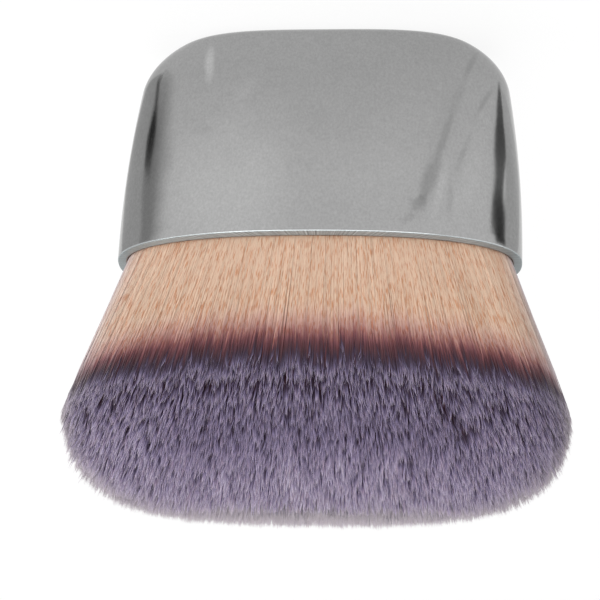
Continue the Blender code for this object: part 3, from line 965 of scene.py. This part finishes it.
def dye_group():
    """A filament's colour from root to tip, with its own strip's shade and some darker dashes."""
    inputs = {"Map": None, "Shade Depth": 0.3, "Dash Depth": 0.3}
    group, given, out = new_group("dye", inputs, {"Color": "Color"})
    parts = put(group, "SeparateXYZ", {0: given["Map"]})
    along = parts.outputs["Y"]
    stops = [(0.0, POT_COLOUR), (0.05, POT_COLOUR), (0.055, DYE_STOPS[0][1])]
    colour = ramp(group, along, stops + [(on_map(mm), dyed) for mm, dyed in DYE_STOPS])

    number = sums(group, "FLOOR", sums(group, "MULTIPLY", parts.outputs["X"], float(SHADES)))
    strip = sums(group, "DIVIDE", number, float(SHADES))
    deeper = spread(group, along, on_map(13.0), on_map(8.0), 0.13, 1.0)
    depth = sums(group, "MULTIPLY", given["Shade Depth"], deeper)
    even = sums(group, "MULTIPLY_ADD", sums(group, "SUBTRACT", strip, 0.5), depth, 1.0)

    spot = {0: sums(group, "MULTIPLY", number, 7.3), 1: sums(group, "MULTIPLY", along, 27.0)}
    spot = put(group, "CombineXYZ", spot).outputs[0]
    noise = put(group, "TexNoise", {"Vector": spot, "Scale": 1.0, "Detail": 0.4}).outputs["Fac"]
    dash = spread(group, noise, 0.50, 0.68)
    shallower = spread(group, along, on_map(12.0), on_map(7.0), 1.0, 0.4)
    off = sums(group, "MULTIPLY", sums(group, "MULTIPLY", dash, given["Dash Depth"]), shallower)
    kept = [sums(group, "MULTIPLY_ADD", off, -share, 1.0) for share in DASH_SHARES]
    channels = [sums(group, "MULTIPLY", even, share) for share in kept]
    tone = put(group, "CombineXYZ", dict(enumerate(channels))).outputs[0]
    group.links.new(tint(group, 1.0, colour, tone, "MULTIPLY"), out["Color"])
    return group


# ---- materials ----
def cap_metal(groups):
    """Satin plated metal: painted shade toward the closed end, painted reflections as soft streaks and
    patches in front, a lighter turned lip with a painted highlight on its outer round.
    """
    material, tree, shader = new_material("cap_metal", metallic=1.0)
    where = put(tree, "TexCoord").outputs["Object"]
    x, y, z = put(tree, "SeparateXYZ", {0: where}).outputs
    mottle = place(tree, groups["mottle"], {"Vector": where, "Scale": 60.0, "Depth": 0.16})
    grain = place(
        tree,
        groups["grain"],
        {"Vector": where, "Size": 2600.0, "Stretch": (1.0, 1.0, 0.7), "Roughness": 0.14, "Swing": 0.05},
    )
    # painted shade: the wall grows darker toward the closed end, standing for the brush's shadow on the floor
    # that the metal reflects there
    end_shade = spread(tree, z, 0.010, 0.034, 0.87, 1.0)
    level = sums(tree, "MULTIPLY", mottle.outputs["Tone"], end_shade)
    speckle = sums(tree, "MULTIPLY_ADD", sums(tree, "SUBTRACT", grain.outputs["Height"], 0.5), 0.40, 1.0)
    level = sums(tree, "MULTIPLY", level, speckle)
    front = sums(tree, "LESS_THAN", y, 0.0)
    # painted reflections: each mark darkens or lightens the front of the wall as a streak or patch of
    # reflected shade or light
    for at_x, at_z, long, wide, turned, fray, change in PAINTED_REFLECTIONS:
        form = {"Turn": math.radians(turned), "Half Length": long / 1000, "Half Width": wide / 1000}
        centre = (at_x / 1000, 0, at_z / 1000)
        painted_reflection = place(tree, groups["painted_reflection"], {"Vector": where, "Centre": centre, "Fray": fray, **form})
        seen = sums(tree, "MULTIPLY", painted_reflection.outputs["Mask"], front)
        level = sums(tree, "MULTIPLY", level, sums(tree, "MULTIPLY_ADD", seen, change, 1.0))
    wall = tint(tree, 1.0, WALL_COLOUR, grey(tree, level), "MULTIPLY")

    # painted highlight: a lighter band along the lip's outer round edge
    rim = spread(tree, z, CAP_HEIGHT - 0.00017, CAP_HEIGHT - 0.00010)
    lip = spread(tree, z, CAP_HEIGHT - 0.00012, CAP_HEIGHT - 0.00003)
    turn = sums(tree, "ARCTAN2", sums(tree, "MULTIPLY", y, 3.0), x)
    comb = put(tree, "TexNoise", {"W": turn, "Scale": 95.0, "Detail": 2.0}, noise_dimensions="1D")
    ends = spread(tree, sums(tree, "ABSOLUTE", x), 0.026, 0.034, 1.0, 0.7)
    comb = sums(tree, "MULTIPLY", sums(tree, "MULTIPLY", comb.outputs["Fac"], 2.0), ends)
    combed = tint(tree, 1.0, LIP_COLOUR, grey(tree, comb), "MULTIPLY")
    # painted shade: the lip's inner edge and the cap's inside are darkened, for the shadow gap next to the
    # filaments
    inner = put(tree, "Attribute", attribute_name="inner_edge_shade").outputs["Fac"]
    colour = tint(tree, lip, tint(tree, rim, wall, RIM_HIGHLIGHT_COLOUR), combed)
    tree.links.new(tint(tree, inner, colour, INNER_EDGE_SHADE_COLOUR), shader.inputs["Base Color"])
    tree.links.new(sums(tree, "MULTIPLY_ADD", lip, -0.75, 1.0), shader.inputs["Metallic"])
    rough = sums(tree, "MULTIPLY_ADD", lip, 0.3, grain.outputs["Roughness"])
    tree.links.new(rough, shader.inputs["Roughness"])
    slow = put(tree, "TexNoise", {"Vector": where, "Scale": 90.0, "Detail": 1.0}).outputs["Fac"]
    height = sums(tree, "MULTIPLY_ADD", grain.outputs["Height"], 0.012, slow)
    bump = put(tree, "Bump", {"Height": height, "Strength": 0.35, "Distance": 0.0006})
    tree.links.new(bump.outputs["Normal"], shader.inputs["Normal"])
    return material


def inner_material(groups, name, colour, metallic, mottle, grain, bump):
    """A plain material for a piece inside: mottled colour, and grain in its roughness and height."""
    material, tree, shader = new_material(name, metallic=metallic)
    where = put(tree, "TexCoord").outputs["Object"]
    mottled = place(tree, groups["mottle"], {"Vector": where, **mottle}).outputs["Tone"]
    grained = place(tree, groups["grain"], {"Vector": where, **grain})
    tree.links.new(tint(tree, 1.0, colour, grey(tree, mottled), "MULTIPLY"), shader.inputs["Base Color"])
    tree.links.new(grained.outputs["Roughness"], shader.inputs["Roughness"])
    raised = put(tree, "Bump", {"Height": grained.outputs["Height"], **bump})
    tree.links.new(raised.outputs["Normal"], shader.inputs["Normal"])
    return material


def moulded_plastic(groups):
    """Near-black moulded plastic for the insert."""
    return inner_material(
        groups,
        "core_plastic",
        (0.030, 0.030, 0.034),
        0.0,
        {"Scale": 90.0, "Depth": 0.3},
        {"Size": 1500.0, "Roughness": 0.5, "Swing": 0.12},
        {"Strength": 0.3, "Distance": 0.00005},
    )


def pressed_metal(groups):
    """Plain pressed metal for the cup, its grain drawn upward."""
    return inner_material(
        groups,
        "cup_metal",
        (0.58, 0.58, 0.57),
        1.0,
        {"Scale": 120.0, "Depth": 0.2},
        {"Size": 900.0, "Stretch": (1.0, 1.0, 0.15), "Roughness": 0.35, "Swing": 0.12},
        {"Strength": 0.2, "Distance": 0.00003},
    )


def filament_material(groups):
    """Dyed filaments with a soft sheen, and a pale painted edge light where they turn edge on."""
    material, tree, shader = new_material("filament", roughness=0.55)
    shader.inputs["Specular IOR Level"].default_value = 0.3
    shader.inputs["Sheen Weight"].default_value = 0.55
    shader.inputs["Sheen Roughness"].default_value = 0.4
    shader.inputs["Sheen Tint"].default_value = (1.0, 0.93, 0.98, 1.0)
    strip = put(tree, "UVMap", uv_map="OFBake").outputs["UV"]
    dye = place(tree, groups["dye"], {"Map": strip, "Shade Depth": 0.60, "Dash Depth": 0.50})
    # painted edge light: the pale colour is mixed in by how far the surface turns from the eye
    facing = put(tree, "LayerWeight", {"Blend": 0.5}).outputs["Facing"]
    along = put(tree, "SeparateXYZ", {0: strip}).outputs["Y"]
    shown = ramp(tree, along, [(on_map(mm), (share, share, share)) for mm, share in EDGE_LIGHT_SHARES])
    edge_light = sums(tree, "MULTIPLY", spread(tree, facing, 0.42, 0.96, 0.0, 0.85), shown)
    tree.links.new(tint(tree, edge_light, dye.outputs["Color"], EDGE_LIGHT_COLOUR), shader.inputs["Base Color"])
    return material


# ---- the studio ----
def bare_material(name):
    """A material with no nodes yet, and its node tree."""
    material = bpy.data.materials.new(name)
    material.use_nodes = True
    material.node_tree.nodes.clear()
    return material, material.node_tree


def make_floor():
    """A pale floor that shows as white, and takes a faint shadow."""
    material, tree = bare_material("floor_paper")
    strength = sums(tree, "MULTIPLY_ADD", seen_directly(tree), 0.47, 0.39)
    glow = put(tree, "Emission", {"Color": (1, 1, 1, 1), "Strength": strength})
    paper = put(tree, "BsdfDiffuse", {"Color": (0.16, 0.16, 0.16, 1)})
    both = put(tree, "AddShader", {0: glow.outputs[0], 1: paper.outputs[0]})
    put(tree, "OutputMaterial", {"Surface": both.outputs[0]})
    corners = [(x * FLOOR_HALF, y * FLOOR_HALF, 0) for x, y in ((-1, -1), (1, -1), (1, 1), (-1, 1))]
    mesh_object("floor", corners, [(0, 1, 2, 3)], material)


def make_card(name, layer, strength, stations):
    """A soft-edged card just over the floor that only shows in reflections.

    The cards lie beside the front of the brush and draw the dark bands down the cap's corners. Each station
    along one is one edge's x and y, the other edge's x and y, how far it fades outside each edge, all in
    millimetres, and how solid it is there.
    """
    material, tree = bare_material(name)
    glow = put(tree, "Emission", {"Color": (1, 1, 1, 1), "Strength": strength})
    clear = put(tree, "BsdfTransparent")
    solid = put(tree, "Attribute", attribute_name="solid").outputs["Fac"]
    both = put(tree, "MixShader", {0: solid, 1: clear.outputs[0], 2: glow.outputs[0]})
    put(tree, "OutputMaterial", {"Surface": both.outputs[0]})
    verts, shares = [], []
    for x0, y0, x1, y1, fade_0, fade_1, share in stations:
        length = math.hypot(x1 - x0, y1 - y0)
        ux, uy = (x1 - x0) / length, (y1 - y0) / length
        for off, held in ((-fade_0, 0.0), (0.0, share), (length, share), (length + fade_1, 0.0)):
            verts.append(((x0 + ux * off) / 1000, (y0 + uy * off) / 1000, CARD_RISE * layer))
            shares.append(held)
    starts = [row * 4 + i for row in range(len(stations) - 1) for i in range(3)]
    card = mesh_object(name, verts, [(at, at + 1, at + 5, at + 4) for at in starts], material)
    card.data.attributes.new("solid", "FLOAT", "POINT").data.foreach_set("value", shares)
    card.visible_camera = card.visible_diffuse = False
    card.visible_shadow = card.visible_transmission = False


def make_world():
    world = bpy.data.worlds.new("studio")
    bpy.context.scene.world = world
    world.use_nodes = True
    tree = world.node_tree
    tree.nodes.clear()
    strength = sums(tree, "MULTIPLY_ADD", seen_directly(tree), 0.56, 0.44)
    back = put(tree, "Background", {"Color": (1, 1, 1, 1), "Strength": strength})
    put(tree, "OutputWorld", {"Surface": back.outputs[0]})


def make_lamp(name, place_at, size, power, mirrored):
    """A soft rectangle of light turned toward the middle of the brush."""
    light = bpy.data.lights.new(name, "AREA")
    light.shape = "RECTANGLE"
    light.size, light.size_y = size
    light.energy = power
    made = bpy.data.objects.new(name, light)
    made.location = place_at
    made.rotation_mode = "QUATERNION"
    aim = Vector((0, 0, CAP_HEIGHT)) - Vector(place_at)
    made.rotation_quaternion = aim.to_track_quat("-Z", "Y")
    made.visible_glossy = mirrored
    bpy.context.scene.collection.objects.link(made)


def make_camera():
    """From above the filament side and a little to one side, turned so that the cap is uppermost."""
    level = math.cos(CAMERA_ELEVATION)
    back = (math.sin(CAMERA_AZIMUTH) * level, -math.cos(CAMERA_AZIMUTH) * level, math.sin(CAMERA_ELEVATION))
    back = Vector(back)
    data = bpy.data.cameras.new("camera")
    data.sensor_width = 36.0
    data.lens = LENS_MM
    data.clip_start, data.clip_end = 0.01, 50.0
    made = bpy.data.objects.new("camera", data)
    made.location = LOOK_AT + back * CAMERA_DISTANCE
    made.rotation_mode = "QUATERNION"
    made.rotation_quaternion = (-back).to_track_quat("-Z", "Y") @ Quaternion((0, 0, 1), CAMERA_ROLL)
    bpy.context.scene.collection.objects.link(made)
    bpy.context.scene.camera = made


def main():
    groups = {"mottle": mottle_group(), "grain": grain_group(), "painted_reflection": painted_reflection_group(), "dye": dye_group()}
    cap = make_cap(cap_metal(groups))
    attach(cap, "root")
    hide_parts("outer_shell")
    for node, material in (("core_block", moulded_plastic(groups)), ("knot_cup", pressed_metal(groups))):
        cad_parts[node].material_slots[0].material = material
    make_head(filament_material(groups))
    make_floor()
    for card in CARDS:
        make_card(*card)
    make_world()
    for lamp in LAMPS:
        make_lamp(*lamp)
    make_camera()
    bpy.context.scene.view_settings.view_transform = "Standard"


main()
